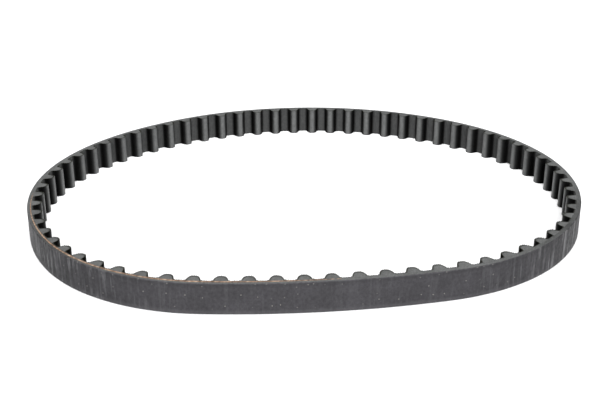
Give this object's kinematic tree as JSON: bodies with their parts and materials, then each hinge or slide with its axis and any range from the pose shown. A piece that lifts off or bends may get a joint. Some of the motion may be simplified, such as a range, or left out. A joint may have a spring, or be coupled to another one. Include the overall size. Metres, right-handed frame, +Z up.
{
  "type": "timing belt",
  "caption": "Endless moulded rubber timing belt, a narrow free loop with rounded teeth inside, nylon tooth facing and glass-fibre tension cords.",
  "frame": {"origin": "centre of the loop, on the plane that the lower cut edge stands on", "axes": "+Z up across the width of the belt, X along the longer side of the loop, -Y towards its flatter side"},
  "size_m": [0.1898, 0.1614, 0.01],
  "materials": {
    "backing_rubber": "matte charcoal chloroprene, ground smooth, faint dusty streaks across the width",
    "tension_cord": "twisted glass-fibre cord with a brown rubber dip, seen only where the cut edge runs into it",
    "tooth_rubber": "matte dark grey chloroprene, seen on the cut edges as slightly rough",
    "nylon_facing": "fine woven nylon, dark grey, satin, worn lighter on the tooth tips"
  },
  "bodies": {
    "span_01": {"span_01_backing": "backing_rubber", "span_01_cords": "tension_cord", "span_01_teeth": "tooth_rubber", "span_01_facing": "nylon_facing"},
    "span_02": {"span_02_backing": "backing_rubber", "span_02_cords": "tension_cord", "span_02_teeth": "tooth_rubber", "span_02_facing": "nylon_facing"},
    "span_03": {"span_03_backing": "backing_rubber", "span_03_cords": "tension_cord", "span_03_teeth": "tooth_rubber", "span_03_facing": "nylon_facing"},
    "span_04": {"span_04_backing": "backing_rubber", "span_04_cords": "tension_cord", "span_04_teeth": "tooth_rubber", "span_04_facing": "nylon_facing"},
    "span_05": {"span_05_backing": "backing_rubber", "span_05_cords": "tension_cord", "span_05_teeth": "tooth_rubber", "span_05_facing": "nylon_facing"},
    "span_06": {"span_06_backing": "backing_rubber", "span_06_cords": "tension_cord", "span_06_teeth": "tooth_rubber", "span_06_facing": "nylon_facing"},
    "span_07": {"span_07_backing": "backing_rubber", "span_07_cords": "tension_cord", "span_07_teeth": "tooth_rubber", "span_07_facing": "nylon_facing"},
    "span_08": {"span_08_backing": "backing_rubber", "span_08_cords": "tension_cord", "span_08_teeth": "tooth_rubber", "span_08_facing": "nylon_facing"},
    "span_09": {"span_09_backing": "backing_rubber", "span_09_cords": "tension_cord", "span_09_teeth": "tooth_rubber", "span_09_facing": "nylon_facing"},
    "span_10": {"span_10_backing": "backing_rubber", "span_10_cords": "tension_cord", "span_10_teeth": "tooth_rubber", "span_10_facing": "nylon_facing"},
    "span_11": {"span_11_backing": "backing_rubber", "span_11_cords": "tension_cord", "span_11_teeth": "tooth_rubber", "span_11_facing": "nylon_facing"},
    "span_12": {"span_12_backing": "backing_rubber", "span_12_cords": "tension_cord", "span_12_teeth": "tooth_rubber", "span_12_facing": "nylon_facing"},
    "span_13": {"span_13_backing": "backing_rubber", "span_13_cords": "tension_cord", "span_13_teeth": "tooth_rubber", "span_13_facing": "nylon_facing"}
  },
  "joints": [
    {"name": "land_06_07", "type": "hinge", "parent": "span_07", "child": "span_06", "pos_m": [0.03825, 0.07294, 0.005], "axis": [0, 0, -1], "range_deg": [-12, 8.5], "stiffness_Nm_per_rad": 0.01023},
    {"name": "land_07_08", "type": "hinge", "parent": "span_08", "child": "span_07", "pos_m": [-0.00892, 0.07886, 0.005], "axis": [0, 0, -1], "range_deg": [-13.6, 9.6], "stiffness_Nm_per_rad": 0.01023},
    {"name": "land_08_09", "type": "hinge", "parent": "span_09", "child": "span_08", "pos_m": [-0.04671, 0.06658, 0.005], "axis": [0, 0, -1], "range_deg": [-8, 5.7], "stiffness_Nm_per_rad": 0.01125},
    {"name": "land_09_10", "type": "hinge", "parent": "span_10", "child": "span_09", "pos_m": [-0.07675, 0.04057, 0.005], "axis": [0, 0, -1], "range_deg": [-5, 7], "stiffness_Nm_per_rad": 0.01125},
    {"name": "land_10_11", "type": "hinge", "parent": "span_11", "child": "span_10", "pos_m": [-0.09274, 0.00437, 0.005], "axis": [0, 0, -1], "range_deg": [-12.4, 17.6], "stiffness_Nm_per_rad": 0.01125},
    {"name": "land_11_12", "type": "hinge", "parent": "span_12", "child": "span_11", "pos_m": [-0.08895, -0.03501, 0.005], "axis": [0, 0, -1], "range_deg": [-7.7, 10.9], "stiffness_Nm_per_rad": 0.01125},
    {"name": "land_12_13", "type": "hinge", "parent": "span_13", "child": "span_12", "pos_m": [-0.06588, -0.06701, 0.005], "axis": [0, 0, -1], "range_deg": [-5.6, 4], "stiffness_Nm_per_rad": 0.01023},
    {"name": "land_13_01", "type": "hinge", "parent": "span_01", "child": "span_13", "pos_m": [-0.02057, -0.07952, 0.005], "axis": [0, 0, -1], "range_deg": [-13.9, 9.8], "stiffness_Nm_per_rad": 0.00937},
    {"name": "land_01_02", "type": "hinge", "parent": "span_01", "child": "span_02", "pos_m": [0.02712, -0.07477, 0.005], "axis": [0, 0, 1], "range_deg": [-12.5, 8.9], "stiffness_Nm_per_rad": 0.00937},
    {"name": "land_02_03", "type": "hinge", "parent": "span_02", "child": "span_03", "pos_m": [0.07059, -0.05609, 0.005], "axis": [0, 0, 1], "range_deg": [-2.6, 1.8], "stiffness_Nm_per_rad": 0.01023},
    {"name": "land_03_04", "type": "hinge", "parent": "span_03", "child": "span_04", "pos_m": [0.09122, -0.02247, 0.005], "axis": [0, 0, 1], "range_deg": [-10.9, 15.4], "stiffness_Nm_per_rad": 0.01125},
    {"name": "land_04_05", "type": "hinge", "parent": "span_04", "child": "span_05", "pos_m": [0.09115, 0.01709, 0.005], "axis": [0, 0, 1], "range_deg": [-12, 17], "stiffness_Nm_per_rad": 0.01125}
  ],
  "couplings": [
    {"joint": "land_06_07", "follows": "land_04_05", "ratio": -0.70108},
    {"joint": "land_07_08", "follows": "land_04_05", "ratio": -0.79209},
    {"joint": "land_08_09", "follows": "land_04_05", "ratio": -0.46629},
    {"joint": "land_09_10", "follows": "land_04_05", "ratio": 0.40792},
    {"joint": "land_10_11", "follows": "land_04_05", "ratio": 1.0291},
    {"joint": "land_11_12", "follows": "land_04_05", "ratio": 0.63298},
    {"joint": "land_12_13", "follows": "land_04_05", "ratio": -0.32289},
    {"joint": "land_13_01", "follows": "land_04_05", "ratio": -0.81019},
    {"joint": "land_01_02", "follows": "land_04_05", "ratio": -0.7313},
    {"joint": "land_02_03", "follows": "land_04_05", "ratio": -0.14494},
    {"joint": "land_03_04", "follows": "land_04_05", "ratio": 0.8988}
  ]
}
